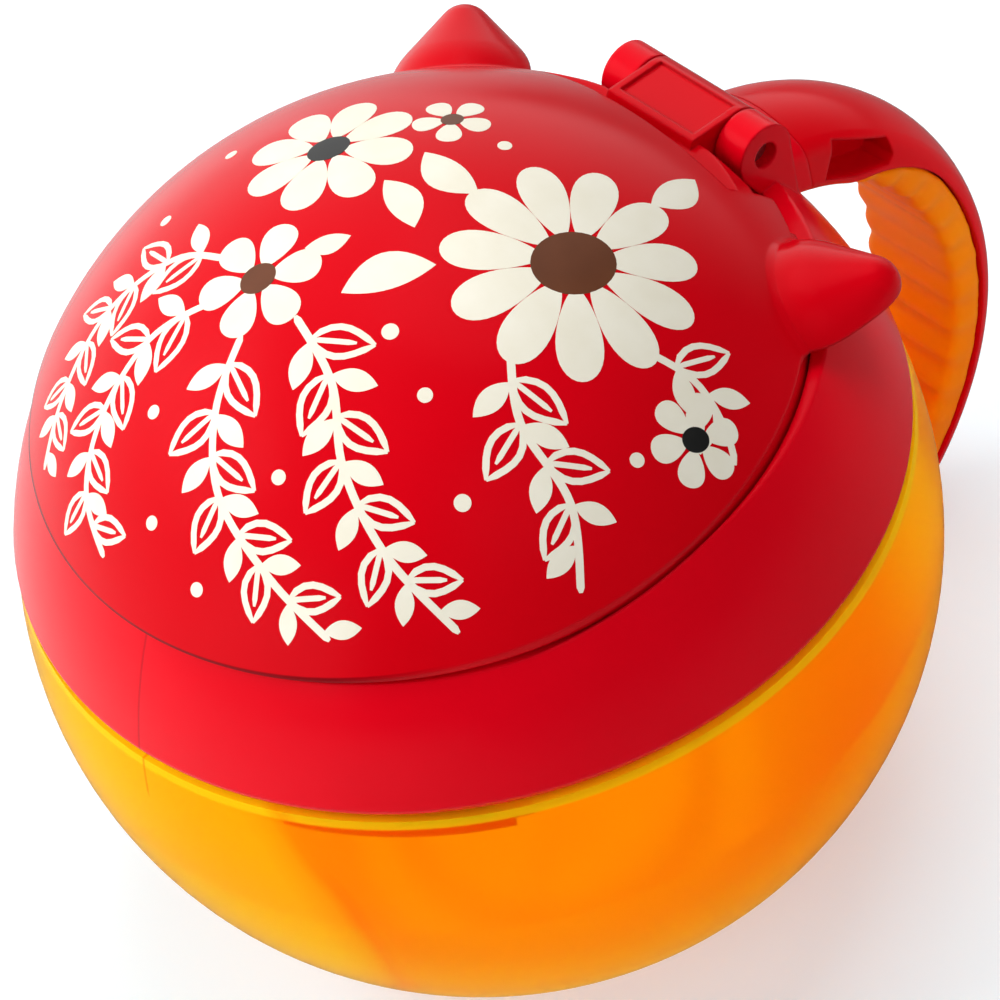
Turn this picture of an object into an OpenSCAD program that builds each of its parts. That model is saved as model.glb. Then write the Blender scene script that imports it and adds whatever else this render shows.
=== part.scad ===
// Toddler snack container: a round cup with a twist-off collar, a hinged dome lid
// with two ears, soft flaps in the mouth and a loop handle with a soft grip.
// Millimetres. Z is up, the foot stands on Z = 0, the hinge and the handle are at +Y.

/* [Ball] */
// Outer diameter of the ball that the cup, collar and lid make together
ball_d = 100; // [90:1:115]
// Diameter of the flat foot
foot_d = 50; // [40:1:60]

/* [Cup] */
// Thickness of the cup's round wall
cup_wall = 2.8; // [2.2:0.1:3.4]
// Thickness of the cup's floor
floor_t = 2.6; // [1.8:0.1:4]
// Thickness of the cup's wall at its rim
rim_wall = 2.5; // [2:0.1:3.2]

/* [Collar] */
// Height of the seam between cup and collar, above the ball's middle
seam_h = 11.4; // [9:0.1:13]
// How far the collar stands proud of the cup's ball
collar_proud = 0.4; // [0:0.1:1]
// Thickness of the collar's round wall
collar_wall = 2.4; // [1.8:0.1:3]
// Radius of the rounded edge at the foot of the collar
collar_edge_r = 1.4; // [0.6:0.1:1.6]
// Thickness of the deck that closes the top of the collar
deck_t = 2.2; // [1.6:0.1:3]
// Height of the lip round the lid, above the deck
lip_h = 1.9; // [1:0.1:2]
// Radius of the lip's rounded outer edge
lip_edge_r = 0.4; // [0.4:0.1:1]
// Width of the lip beside the lid
lip_w = 1.3; // [0.8:0.1:2]
// Thickness of the shoulder that lies over the cup's rim
shoulder_t = 2.2; // [1.6:0.1:3]

/* [Twist lock] */
// Height of the skirt that goes down inside the cup
skirt_h = 6.2; // [5.6:0.1:8]
// Thickness of the skirt
skirt_t = 2; // [1.5:0.1:2.6]
// How far each lug stands out of the cup's wall
lug_depth = 1.6; // [1:0.1:2]
// Height of each lug
lug_h = 2; // [1.4:0.1:2.2]
// Angle that each lug takes
lug_deg = 12; // [8:1:14]
// Thickness of the ramp that turns under each lug
ramp_t = 1.8; // [1.2:0.1:2]
// Angle that each ramp reaches past its lug
ramp_deg = 16; // [10:1:18]

/* [Mouth] */
// Width of the shelf between the neck and the lid's edge
shelf_w = 7.66; // [7.4:0.02:9.6]
// Thickness of the neck
neck_wall = 1.8; // [1.4:0.1:2.2]
// Height of the neck above the deck
neck_h = 3.4; // [2.4:0.1:3.6]

/* [Flaps] */
// Thickness of the soft flaps
flap_t = 1.1; // [0.8:0.1:1.6]
// Width of the slits between the flaps
slit_w = 0.6; // [0.4:0.1:1.2]
// Distance from the neck in to each flap's fold
fold_in = 4.7; // [4.2:0.1:6]
// Thickness of the rim that holds the flaps
rim_t = 1.4; // [1:0.1:2]
// Width of the flap rim beyond the corners of the flaps
rim_w = 3.5; // [3:0.1:4]
// Thickness of the ring that clamps the flap rim
clamp_t = 1.8; // [1.4:0.1:2.4]

/* [Lid] */
// Height of the lid's edge above the ball's middle
lid_edge_h = 26.35; // [25:0.05:27]
// Distance that the lid sits forward of the ball's middle
lid_shift = 2.3; // [1.6:0.1:2.6]
// Thickness of the lid
lid_wall = 2; // [1.6:0.1:2.4]
// Radius of the rounded edge at the foot of the lid
lid_edge_r = 0.5; // [0.3:0.1:0.8]
// How far the top of the lid stands proud of the ball
crown_proud = 1.3; // [0.8:0.1:1.6]
// Thickness of the ring that plugs the mouth
plug_t = 1.8; // [1.4:0.1:2.2]
// Depth that the plug ring reaches into the neck
plug_depth = 2.6; // [1.5:0.1:2.8]

/* [Ears] */
// Direction of each ear, from the side towards the back
ear_az = 47.8; // [45:0.1:50]
// Height of each ear's root on the dome, as an angle
ear_el = 31.3; // [30:0.1:33]
// Radius of the ball at each ear's root
ear_root_r = 8.9; // [8.4:0.1:9.4]
// Depth of that ball's middle below the dome
ear_sunk = 3; // [2.4:0.1:3.6]
// Radius of each ear's tip
ear_tip_r = 3.1; // [2.6:0.1:3.4]
// Length of each ear from the dome to its tip
ear_len = 8.8; // [8:0.1:9.4]
// Radius of the hollow that blends each ear into the dome
ear_blend_r = 2.4; // [1.6:0.1:3]
// Height of the ears' flat undersides above the lid's edge
ear_foot = 3.4; // [2.4:0.1:4]
// Thickness of the ears' walls
ear_wall = 2.2; // [1.8:0.1:2.8]

/* [Hinge] */
// Height of the hinge pin above the lid's edge
hinge_up = 5.95; // [5.8:0.05:6.5]
// Distance of the hinge pin behind the lid's edge
hinge_out = 0.4; // [0.2:0.1:1]
// Radius of the hinge knuckles
knuckle_r = 3.6; // [3.2:0.1:3.6]
// Width over both knuckles
hinge_w = 21.8; // [20:0.2:24]
// Width of each knuckle on the collar
knuckle_w = 4; // [3.4:0.1:4.4]
// Radius of the hinge pin
pin_r = 1.5; // [1.2:0.1:1.8]
// Depth of the pin's ends below the knuckles' faces
pin_sunk = 1.5; // [0.5:0.1:2]
// Width of the notch in the lid round the hinge
notch_w = 29.8; // [28:0.2:31]
// Depth of the notch below the dome, down to its ledge
notch_depth = 4.1; // [3.6:0.1:4.4]
// How far each hinge lug tapers towards its foot
lug_taper = 27.5; // [15:0.5:30]
// Depth of the shallow panel on the hinge leaf
panel_depth = 0.5; // [0.3:0.1:0.8]

/* [Handle] */
// Radius of the handle's back
handle_r = 37.4; // [36:0.1:39]
// How far the handle's back stands behind the ball
handle_out = 22.2; // [21:0.1:24]
// Distance of the handle's top below the hinge pin
handle_low = 2.7; // [1.5:0.1:3.2]
// Thickness of the handle, from its back to the finger side
handle_t = 8.4; // [7.6:0.1:9]
// Width of the handle
handle_w = 15; // [13:0.5:17]
// Radius of the crown across the handle's back
crown_r = 12; // [10:0.5:16]
// Radius of the handle's long edges on its back
handle_edge_r = 2.5; // [1.8:0.1:2.8]
// Radius of the handle's long edges on the finger side
finger_edge_r = 1.5; // [1:0.1:2]
// Angle at which the handle ends, below its centre
handle_end = 50; // [40:1:54]
// Depth of the pocket in each side of the arm
pocket_depth = 4.4; // [3:0.1:5]
// Angle at which the pocket starts, above the handle's centre
pocket_start = 43.5; // [43:0.5:46]
// Angle at which the pocket ends
pocket_end = 61.5; // [58:0.5:63]

/* [Grip] */
// Angle at which the soft grip starts, above the handle's centre
grip_start = 22; // [18:1:24]
// Radius of the long curve that ends the grip
grip_end_r = 17.1; // [15:0.1:18]
// Thickness of the soft grip
grip_t = 2.4; // [1.8:0.1:3]
// Width of the hard spine left bare along the handle's back
spine_t = 3.8; // [3.2:0.1:4.2]
// Radius of the grooves across the grip
groove_r = 1.8; // [1.2:0.1:2.2]
// Depth of the grooves across the grip
groove_depth = 0.5; // [0.2:0.1:0.8]

/* [Clearances] */
// Gap between pieces that lie on each other but move
seat_gap = 0.3; // [0.2:0.05:0.4]
// Gap between the skirt and the cup, and between the lid and its lip
side_gap = 0.3; // [0.2:0.05:0.5]
// Radial gap between the plug ring and the neck
plug_gap = 0.6; // [0.5:0.05:0.8]
// Radial running gap of the lid's barrel on the pin
run_gap = 0.07; // [0.04:0.01:0.09]
// Radial gap of the pin in the collar's knuckles
press_gap = 0.02; // [0.01:0.01:0.03]
// Gap between the soft grip and the handle's core
grip_gap = 0.05; // [0.05:0.05:0.2]

/* [Hidden] */
$fn = 96;

// Radius of a ball's cross-section at height h above its middle
function ring_at(r, h) = sqrt(r * r - h * h);

// Number of flaps and of twist lugs
flap_n = 6;
lug_n = 4;
// Overlap of shapes that belong to one piece, and reach of cutting shapes past a face
melt = 0.5;
past = 1;
// Depth that the lip's rounding, and an ear's blend, stay inside the faces they join
sink = 0.02;
blend_sink = 0.12;

// Ball and cup
ball_r = ball_d / 2;
mid = ring_at(ball_r, foot_d / 2);
bore_r = ring_at(ball_r, seam_h) - rim_wall;
// Shallow groove round the foot
foot_groove_r = foot_d * 0.4;
foot_groove_w = foot_d * 0.06;
foot_groove_depth = 0.6;

// Collar
collar_r = ball_r + collar_proud;
deck_h = lid_edge_h - seat_gap;
under_deck = deck_h - deck_t;

// Lid
lid_r = ring_at(collar_r, lid_edge_h) - lip_w;
crown_h = ball_r + crown_proud;
front_y = lid_r + lid_shift;
// The dome is the ball that passes through the crown and the front of the lid's edge
dome_fore = 0.8;
dome_reach = front_y - dome_fore;
dome_mid = (crown_h * crown_h - dome_reach * dome_reach - lid_edge_h * lid_edge_h)
           / (2 * (crown_h - lid_edge_h));
dome_r = crown_h - dome_mid;
hollow_tip_r = ear_tip_r / 2;

// Twist lock
skirt_r = bore_r - lug_depth - side_gap;
skirt_foot = seam_h - skirt_h;
ramp_lift = 0.3;
stop_step = 0.2;
lug_z = skirt_foot + ramp_lift + ramp_t + seat_gap;
lug_play = 0.4;
stop_deg = 5;
// Angle of each lug's middle
lug_at = [for (i = [0:lug_n - 1]) (i + 0.5) * 360 / lug_n];

// Mouth and flaps
neck_r = lid_r - shelf_w;
mouth_r = neck_r - neck_wall;
flap_reach = mouth_r - fold_in;
rim_bore = flap_reach + slit_w / 2;
rim_r = rim_bore / cos(180 / flap_n) + rim_w;
rim_z = under_deck - rim_t;
socket_wall = 1.6;
clamp_step = 0.4;
clamp_r = rim_r + side_gap / 2;
clamp_z = rim_z - clamp_t;

// Hinge
pin_y = lid_r - lid_shift + hinge_out;
pin_z = lid_edge_h + hinge_up;
barrel_w = hinge_w - 2 * knuckle_w - 2 * seat_gap;
notch_reach = 8.5;
ledge_w = 3.4;
notch_y = pin_y - notch_reach;
notch_back = notch_y + ledge_w;
ledge_z = dome_mid + ring_at(dome_r, notch_y + dome_fore) - notch_depth;
lug_step = 0.4;
// Top of the leaf, at the barrel and at its front over the ledge
leaf_back = [pin_y - 0.4, pin_z + knuckle_r];
leaf_front = [notch_back - 0.6, ledge_z + 0.9];
panel_rim = 0.9;
panel_back = 1.5;

// Handle: the arm is the handle's behind the plane at seat_y, and the collar's before it
seat_up = 5.5;
seat_y = ring_at(collar_r, seam_h + seat_up);
stub_gap = 0.6;
handle_y = ball_r + handle_out - handle_r;
handle_z = pin_z - handle_low - handle_r;
inner_r = handle_r - handle_t;
mean_r = handle_r - handle_t / 2;
grip_r = handle_r - spine_t;
// Angle at which the arm's sweep ends inside the collar, and those at which its core ends
arm_top = 80;
core_top = grip_start + 34;
core_tip = handle_end + 5;
// Pocket: distances of its corners from the handle's centre, and angles between them
pocket_roof = handle_r - 2.4;
pocket_foot = inner_r + 1.4;
pocket_nose = inner_r + 3.1;
pocket_nose_h = 1.3;
foot_slope = 9;
roof_slope = 3;

// Places things with Z measured from the ball's middle
module in_ball() translate([0, 0, mid]) children();

// Turns a drawing so that its X lies along Y, its Y along Z and its depth along X
module across() rotate([90, 0, 90]) children();

// Upright ring with its foot at z
module ring(r_in, r_out, z, h) {
    translate([0, 0, z]) difference() {
        cylinder(r = r_out, h = h);
        translate([0, 0, -past]) cylinder(r = r_in, h = h + 2 * past);
    }
}

// Part of an upright ring, from angle a0 to a1
module ring_part(r_in, r_out, z, h, a0, a1) {
    rotate([0, 0, a0]) rotate_extrude(angle = a1 - a0) translate([r_in, z]) square([r_out - r_in, h]);
}

// ---- Cup ----

module cup_hollow() {
    intersection() {
        sphere(ball_r - cup_wall);
        translate([0, 0, floor_t - mid]) cylinder(r = bore_r, h = ball_d);
    }
    cylinder(r = bore_r, h = ball_r);
}

module cup() color("orange", 0.8) in_ball() {
    difference() {
        intersection() {
            sphere(ball_r);
            translate([0, 0, -mid]) cylinder(r = ball_d, h = mid + seam_h - seat_gap);
        }
        cup_hollow();
        ring(foot_groove_r - foot_groove_w, foot_groove_r, -mid - past, past + foot_groove_depth);
    }
    for (a = lug_at)
        ring_part(bore_r - lug_depth, bore_r + melt, lug_z, lug_h, a - lug_deg / 2, a + lug_deg / 2);
}

// ---- Collar ----

// Round wall and deck, with the seat for the lid and the rounded foot
module collar_shell() {
    difference() {
        intersection() {
            sphere(collar_r);
            translate([0, 0, seam_h]) cylinder(r = ball_d, h = deck_h + lip_h - seam_h);
        }
        intersection() {
            sphere(collar_r - collar_wall);
            translate([0, 0, seam_h + shoulder_t]) cylinder(r = ball_d, h = under_deck - seam_h - shoulder_t);
        }
        translate([0, 0, seam_h - past]) cylinder(r = skirt_r - skirt_t, h = shoulder_t + 2 * past);
        translate([0, -lid_shift, deck_h]) cylinder(r = lid_r + side_gap, h = ball_r);
        foot_rounding();
        lip_rounding();
    }
}

// What the rounded foot takes off the collar
module foot_rounding() {
    rest_r = ring_at(collar_r, seam_h + collar_edge_r) - collar_edge_r;
    rotate_extrude() difference() {
        translate([rest_r, seam_h - past]) square([past + 2 * collar_edge_r, past + collar_edge_r]);
        translate([rest_r, seam_h + collar_edge_r]) circle(collar_edge_r);
    }
}

// What the rounded lip takes off the collar
module lip_rounding() {
    top = deck_h + lip_h;
    centre = [ring_at(collar_r - lip_edge_r - sink, top - lip_edge_r), top - lip_edge_r];
    outward = centre * (1 + 2 * past / collar_r);
    rotate_extrude() difference() {
        polygon([centre, outward, centre + [2 * past, 2 * past], centre + [0, 2 * past]]);
        translate(centre) circle(lip_edge_r);
    }
}

// Skirt with a ramp under each of the cup's lugs and a stop at the ramp's end
module lock_skirt() {
    ramp_r = bore_r - side_gap;
    stop_r = ramp_r - stop_step;
    ring(skirt_r - skirt_t, skirt_r, skirt_foot, skirt_h + melt);
    for (a = lug_at) {
        lug_end = a + lug_deg / 2 + lug_play;
        ring_part(skirt_r - melt, ramp_r, skirt_foot + ramp_lift, ramp_t,
                  a - lug_deg / 2 - ramp_deg, lug_end + stop_deg / 2);
        ring_part(skirt_r - melt / 2, stop_r, skirt_foot + ramp_lift + ramp_t / 2,
                  skirt_h - ramp_lift - ramp_t / 2 + melt, lug_end, lug_end + stop_deg);
    }
}

// Outline of a hinge lug, seen along the pin: its front leans back towards the foot
module lug_outline() {
    lean = knuckle_r * [cos(lug_taper), sin(lug_taper)];
    foot_z = under_deck + melt;
    back_y = pin_y + knuckle_r - lug_step;
    back_z = ring_at(ring_at(collar_r - collar_wall / 4, hinge_w / 2), back_y);
    translate([pin_y, pin_z]) circle(knuckle_r);
    polygon([[pin_y, pin_z], [pin_y + knuckle_r, pin_z], [back_y, back_z],
             [pin_y - lean[0] + (pin_z - lean[1] - foot_z) * tan(lug_taper), foot_z],
             [pin_y - lean[0], pin_z - lean[1]]]);
}

module hinge_lugs() {
    for (side = [0, 1]) mirror([side, 0, 0])
        across() translate([0, 0, hinge_w / 2 - knuckle_w]) linear_extrude(knuckle_w) lug_outline();
}

module collar() color("crimson") in_ball() difference() {
    union() {
        collar_shell();
        lock_skirt();
        hinge_lugs();
        arm_stub();
        translate([0, -lid_shift, 0]) {
            ring(mouth_r, neck_r, under_deck + melt, deck_t + neck_h - melt);
            ring(clamp_r + side_gap, clamp_r + side_gap + socket_wall, clamp_z, under_deck - clamp_z + melt);
        }
    }
    translate([0, -lid_shift, clamp_z - past]) cylinder(r = mouth_r, h = ball_r);
    across() translate([pin_y, pin_z, -hinge_w]) cylinder(r = pin_r + press_gap, h = 2 * hinge_w);
}

// ---- Handle ----

// Cross-section of the handle, less that much all round: X is the distance from the handle's
// centre, Y runs across it
module arm_section(less = 0) {
    half = handle_w / 2;
    back_y = half - handle_edge_r;
    crown_x = handle_r - crown_r;
    tilt = asin(back_y / (crown_r - handle_edge_r));
    back_x = crown_x + (crown_r - handle_edge_r) * cos(tilt);
    finger_x = inner_r + finger_edge_r;
    intersection() {
        translate([crown_x, 0]) circle(crown_r - less);
        polygon([[back_x, -back_y], [crown_x + 2 * crown_r * cos(tilt), -2 * crown_r * sin(tilt)],
                 [crown_x + 2 * crown_r * cos(tilt), 2 * crown_r * sin(tilt)], [back_x, back_y]]);
    }
    for (y = [-back_y, back_y]) translate([back_x, y]) circle(handle_edge_r - less);
    for (y = [finger_edge_r - half, half - finger_edge_r])
        translate([finger_x, y]) circle(finger_edge_r - less);
    translate([finger_x, less - half]) square([back_x - finger_x, handle_w - 2 * less]);
    translate([inner_r + less, finger_edge_r - half])
        square([back_x - inner_r - less, handle_w - 2 * finger_edge_r]);
}

// Sweeps a section round the handle's centre, from angle a0 up to a1
module swept(a0, a1) {
    translate([0, handle_y, handle_z]) across() rotate([0, 0, a0]) rotate_extrude(angle = a1 - a0) children();
}

// Lies along the handle at angle a and distance r from its centre
module on_arm(a, r) {
    translate([0, handle_y + r * cos(a), handle_z + r * sin(a)]) across() rotate([0, 0, a]) children();
}

// Arm from its rounded end to inside the collar's ball
module whole_arm() {
    tip_step = 0.1;
    swept(-handle_end, arm_top) arm_section();
    on_arm(melt - handle_end, mean_r) rotate([0, 0, -180]) rotate_extrude(angle = 180) intersection() {
        translate([-mean_r, 0]) arm_section(tip_step);
        translate([0, -handle_w]) square([handle_t, 2 * handle_w]);
    }
}

// Slab of the room behind the collar, from y0 to y1
module slab_y(y0, y1) translate([-ball_r, y0, -ball_r]) cube([ball_d, y1 - y0, 2 * ball_r]);

module arm_stub() {
    difference() {
        intersection() {
            whole_arm();
            slab_y(pin_y + knuckle_r + stub_gap, seat_y);
            translate([0, 0, seam_h + shoulder_t]) cylinder(r = ball_d, h = ball_r);
        }
        sphere(collar_r - collar_wall / 2);
    }
}

// Band that the soft grip fills, ended above by a long curve, g larger all round than the grip
module grip_band(g) {
    under = inner_r - 2 * past;
    swept(-handle_end, grip_start) translate([under, -handle_w]) square([grip_r - under + g, 2 * handle_w]);
    on_arm(grip_start, grip_r - grip_end_r)
        translate([0, 0, -handle_w]) cylinder(r = grip_end_r + g, h = 2 * handle_w);
}

// Core inside the grip, g smaller all round than the grip's hollow
module grip_core(g) {
    swept(-core_tip, core_top) translate([inner_r + grip_t + g, -handle_w / 2 + grip_t + g])
        square([handle_t, handle_w - 2 * (grip_t + g)]);
}

// Pocket in the side of the arm, open to the finger side
module arm_pocket() {
    translate([0, handle_y, handle_z]) across()
        translate([0, 0, handle_w / 2 - pocket_depth]) linear_extrude(pocket_depth + past)
        polygon([for (p = [[pocket_start + roof_slope, pocket_roof], [pocket_end, pocket_roof],
                           [pocket_end, pocket_foot], [pocket_end - foot_slope, pocket_foot],
                           [pocket_start, pocket_nose], [pocket_start, pocket_nose + pocket_nose_h]])
                 p[1] * [cos(p[0]), sin(p[0])]]);
}

module handle() color("crimson") in_ball() difference() {
    intersection() {
        whole_arm();
        slab_y(seat_y, ball_d);
    }
    difference() {
        grip_band(0);
        grip_core(grip_gap);
    }
    for (side = [0, 1]) mirror([side, 0, 0]) arm_pocket();
}

module grip() color("darkorange") in_ball() difference() {
    intersection() {
        swept(-handle_end, arm_top) arm_section();
        grip_band(-grip_gap);
    }
    grip_core(0);
    pitch = 2 * groove_r;
    count = floor((grip_start + handle_end) * PI / 180 * inner_r / pitch) - 1;
    for (i = [1:count]) {
        a = -handle_end + i * (grip_start + handle_end) / (count + 1);
        on_arm(a, inner_r - groove_r + groove_depth)
            translate([0, 0, -handle_w]) cylinder(r = groove_r, h = 2 * handle_w);
    }
}

// ---- Flaps in the mouth ----

module flap_rim() color("gold") in_ball() translate([0, -lid_shift, rim_z]) difference() {
    cylinder(r = rim_r, h = rim_t);
    translate([0, 0, -past]) rotate([0, 0, 180 / flap_n])
        cylinder(r = rim_bore / cos(180 / flap_n), h = rim_t + 2 * past, $fn = flap_n);
}

module clamp_ring() color("crimson") in_ball() translate([0, -lid_shift, 0])
    ring(rim_r - rim_w + clamp_step, clamp_r, clamp_z, clamp_t);

// One flap: a wedge from the middle of the mouth to a bead along its straight fold
module flap(i) color("gold") in_ball() {
    fold = flap_reach - flap_t / 2;
    half = fold * tan(180 / flap_n) - slit_w / 2 / cos(180 / flap_n);
    translate([0, -lid_shift, rim_z + rim_t / 2]) rotate([0, 0, i * 360 / flap_n]) {
        translate([0, 0, -flap_t / 2]) linear_extrude(flap_t)
            polygon([[slit_w / 2 / sin(180 / flap_n), 0], [fold, -half], [fold, half]]);
        translate([fold, -half, 0]) rotate([-90, 0, 0]) cylinder(r = flap_t / 2, h = 2 * half);
    }
}

// ---- Lid ----

// Ball of radius r round the dome's own middle
module dome_ball(r) translate([0, -dome_fore, dome_mid]) sphere(r);

// Ball of radius r at z0, ball of radius t at z1, and the cone that touches both
module ball_cone(r, t, z0, z1) {
    rise = (r - t) / (z1 - z0);
    side = sqrt(1 - rise * rise);
    translate([0, 0, z0]) sphere(r);
    translate([0, 0, z1]) sphere(t);
    translate([0, 0, z0 + r * rise]) cylinder(r1 = r * side, r2 = t * side, h = z1 - z0 - (r - t) * rise);
}

// Ear along Z with a round tip, blended into the dome that it stands on
module ear_form() {
    dome = [0, -dome_r];
    root = [0, -ear_sunk];
    down = dome_r - blend_sink;
    out = ear_root_r - blend_sink;
    apart = root[1] - dome[1];
    blend_h = (pow(down + ear_blend_r, 2) - pow(out + ear_blend_r, 2) + apart * apart) / (2 * apart);
    blend = [ring_at(down + ear_blend_r, blend_h), blend_h - dome_r];
    foot = dome + (blend - dome) * down / (down + ear_blend_r);
    top = root + (blend - root) * out / (out + ear_blend_r);
    ball_cone(ear_root_r, ear_tip_r, -ear_sunk, ear_len - ear_tip_r);
    rotate_extrude() difference() {
        polygon([blend, top, [top[0] - past, -lid_wall], foot - [0, past]]);
        translate(blend) circle(ear_blend_r);
    }
}

// Puts an ear's root on the dome, its axis through the dome's middle
module at_ear() translate([0, -dome_fore, dome_mid])
    rotate([0, 0, ear_az]) rotate([0, 90 - ear_el, 0]) translate([0, 0, dome_r]) children();

// Everything inside radius r round the lid's axis, or above height z
module lid_room(r, z) {
    translate([0, -lid_shift, lid_edge_h - past]) cylinder(r = r, h = ball_d);
    translate([0, 0, z]) cylinder(r = ball_d, h = ball_d);
}

module ears() intersection() {
    for (side = [0, 1]) mirror([side, 0, 0]) at_ear() ear_form();
    lid_room(lid_r, lid_edge_h + ear_foot);
    translate([0, 0, lid_edge_h]) cylinder(r = ball_d, h = ball_d);
}

// Room round the hinge, w wide, from y back and from z0 up to z1
module hinge_room(w, y, z0, z1) translate([-w / 2, y, z0]) cube([w, ball_r, z1 - z0]);

// Hollow of the lid: the dome's inside and the ears', but not the wall round the notch
module lid_hollow() difference() {
    intersection() {
        union() {
            dome_ball(dome_r - lid_wall);
            for (side = [0, 1]) mirror([side, 0, 0]) at_ear()
                ball_cone(ear_root_r - ear_wall, hollow_tip_r, -ear_sunk, ear_len - ear_wall - hollow_tip_r);
        }
        lid_room(lid_r - lid_wall, lid_edge_h + ear_foot + lid_wall);
    }
    hinge_room(notch_w + 2 * lid_wall, notch_y - lid_wall, 0, ball_d);
}

// What the rounded foot takes off the lid's edge
module lid_rounding() translate([0, -lid_shift, lid_edge_h]) rotate_extrude() difference() {
    translate([lid_r - lid_edge_r, -past]) square([2 * past, past + lid_edge_r]);
    translate([lid_r - lid_edge_r, lid_edge_r]) circle(lid_edge_r);
}

// Ring under the dome that plugs the mouth
module plug_ring() intersection() {
    plug_r = mouth_r - plug_gap;
    translate([0, -lid_shift, 0])
        ring(plug_r - plug_t, plug_r, deck_h + neck_h - plug_depth, ball_r);
    dome_ball(dome_r - lid_wall / 2);
}

// Leaf that joins the barrel on the pin to the ledge of the notch
module hinge_leaf() {
    across() translate([0, 0, -barrel_w / 2]) linear_extrude(barrel_w) {
        translate([pin_y, pin_z]) circle(knuckle_r);
        polygon([leaf_back, leaf_front, [leaf_front[0] - 1.4, ledge_z - lid_wall / 2],
                 [leaf_front[0] - 0.4, ledge_z - lid_wall], [pin_y - knuckle_r + 0.2, pin_z + 0.4],
                 [pin_y, pin_z]]);
    }
}

// Shallow panel sunk in the top of the leaf
module leaf_panel() {
    back = leaf_back + [panel_back, -panel_depth];
    front = leaf_front + [panel_rim, -panel_depth];
    across() translate([0, 0, panel_rim - barrel_w / 2]) linear_extrude(barrel_w - 2 * panel_rim)
        polygon([back, front, front + [0, 2 * past], back + [0, 2 * past]]);
}

module lid() color("crimson") in_ball() difference() {
    union() {
        difference() {
            union() {
                intersection() {
                    dome_ball(dome_r);
                    translate([0, -lid_shift, lid_edge_h]) cylinder(r = lid_r, h = ball_r);
                }
                ears();
            }
            lid_hollow();
            lid_rounding();
            hinge_room(notch_w, notch_y, ledge_z, ball_d);
            hinge_room(notch_w, notch_y, 0, ledge_z - lid_wall);
            hinge_room(notch_w, notch_back, 0, ball_d);
            hinge_room(notch_w, notch_y - lid_wall - past, 0, deck_h + neck_h + seat_gap);
        }
        plug_ring();
        hinge_leaf();
    }
    leaf_panel();
    across() translate([pin_y, pin_z, -hinge_w]) cylinder(r = pin_r + run_gap, h = 2 * hinge_w);
}

module hinge_pin() color("silver") in_ball() across()
    translate([pin_y, pin_z, -hinge_w / 2 + pin_sunk]) cylinder(r = pin_r, h = hinge_w - 2 * pin_sunk);

cup();
collar();
handle();
grip();
flap_rim();
clamp_ring();
lid();
hinge_pin();
flap(0);  // flap_1
flap(1);  // flap_2
flap(2);  // flap_3
flap(3);  // flap_4
flap(4);  // flap_5
flap(5);  // flap_6
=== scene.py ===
# Toddler snack container: the looks of its moulded shells, clear cup, ribbed grip and soft
# flaps, and the flowers printed on its lid. Metres, in the part's own frame.
import math

import bmesh
import bpy
from mathutils import Matrix, Vector
from mathutils.geometry import interpolate_bezier


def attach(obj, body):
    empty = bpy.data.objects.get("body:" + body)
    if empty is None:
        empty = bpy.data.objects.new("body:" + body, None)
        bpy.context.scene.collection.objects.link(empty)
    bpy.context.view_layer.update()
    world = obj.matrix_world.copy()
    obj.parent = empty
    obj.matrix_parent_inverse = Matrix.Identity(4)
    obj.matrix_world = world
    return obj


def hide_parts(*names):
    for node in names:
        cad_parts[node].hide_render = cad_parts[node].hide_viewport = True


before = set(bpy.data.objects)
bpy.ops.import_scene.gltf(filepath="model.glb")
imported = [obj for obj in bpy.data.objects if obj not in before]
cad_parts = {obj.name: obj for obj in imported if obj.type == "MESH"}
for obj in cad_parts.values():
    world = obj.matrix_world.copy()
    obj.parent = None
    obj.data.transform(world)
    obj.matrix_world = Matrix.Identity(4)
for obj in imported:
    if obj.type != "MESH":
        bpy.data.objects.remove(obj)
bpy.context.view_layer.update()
MM = 0.001
FULL_TURN = 2 * math.pi

# ---- Sizes the pieces share with the part ----

# In millimetres: the height of the ball's middle, the collar's seam above it, and the gap there
BALL_Z = 43.3013
SEAM_RISE = 11.4
SEAM_GAP = 0.3
BALL_MID = Vector((0, 0, BALL_Z)) * MM
DOME_MID = Vector((0, -0.8, BALL_Z + 1.4934)) * MM
DOME_R = 49.8066 * MM
# The lid's edge is a circle round an upright axis at this y
LID_AXIS_Y = -2.3 * MM
LID_EDGE_R = 41.66 * MM
CUP_RIM_Z = (BALL_Z + SEAM_RISE - SEAM_GAP) * MM
HANDLE_MID = Vector((0, 34.8, BALL_Z - 7.8)) * MM
GRIP_INSIDE_R = 29.0 * MM
FLAPS = 6


# ---- Node helpers ----

def set_plain(node, **inputs):
    """Sets sockets that are the same all over; a _ in a name stands for a space."""
    for key, value in inputs.items():
        node.inputs[key.replace("_", " ")].default_value = value


def new_material(name):
    """Node material with one Principled shader, and the coordinates of its piece."""
    mat = bpy.data.materials.new(name)
    mat.use_nodes = True
    tree = mat.node_tree
    return mat, tree, tree.nodes["Principled BSDF"], object_coords(tree)


def add(tree, kind, x=0, y=0, **inputs):
    """Adds a node, sets its plain sockets, and returns it."""
    n = tree.nodes.new(kind)
    n.location = (x, y)
    set_plain(n, **inputs)
    return n


def object_coords(tree):
    return add(tree, "ShaderNodeTexCoord", -1600, 0).outputs["Object"]


def noise(tree, vector, scale, detail, x=-1000, y=0):
    n = add(tree, "ShaderNodeTexNoise", x, y, Scale=scale, Detail=detail)
    tree.links.new(vector, n.inputs["Vector"])
    return n.outputs["Fac"]


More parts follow.
